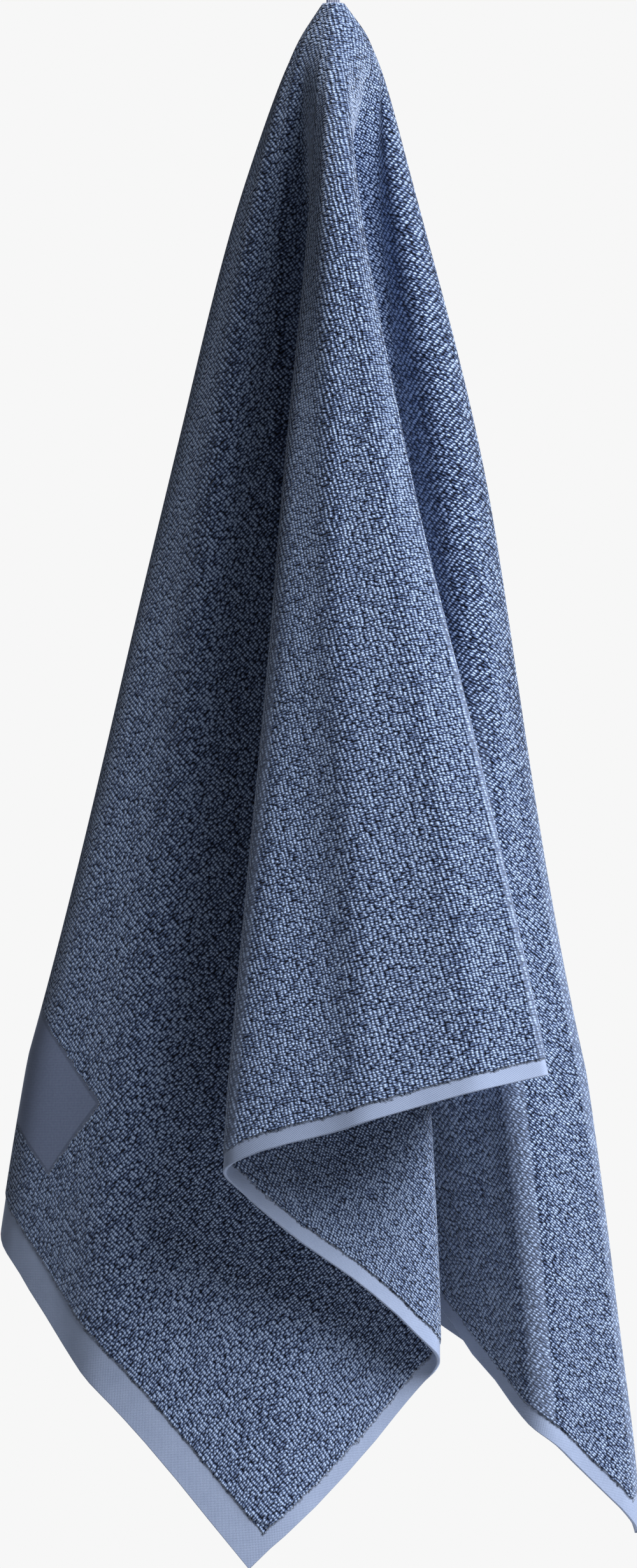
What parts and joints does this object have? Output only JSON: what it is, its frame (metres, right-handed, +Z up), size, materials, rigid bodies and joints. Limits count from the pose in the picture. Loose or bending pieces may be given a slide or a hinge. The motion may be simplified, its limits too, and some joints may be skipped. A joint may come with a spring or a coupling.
{
  "type": "bath towel hanging from a wall hook",
  "caption": "Terry bath towel hung by its sewn loop from a plain round wall hook, falling in deep folds to pointed corners.",
  "frame": {"origin": "centre of the hook plate's back face, on the wall", "axes": "+Z up, +Y into the wall, the room on the -Y side"},
  "size_m": [0.4076, 0.1807, 1.0717],
  "materials": {
    "terry": "dense cut terry loops, slate blue, with flat woven hems",
    "woven_tape": "flat woven tape, pale slate blue",
    "satin_steel": "satin"
  },
  "bodies": {
    "root": {"towel": "terry", "hanging_loop": "woven_tape", "hook_plate": "satin_steel", "hook_arm": "satin_steel"}
  },
  "joints": []
}
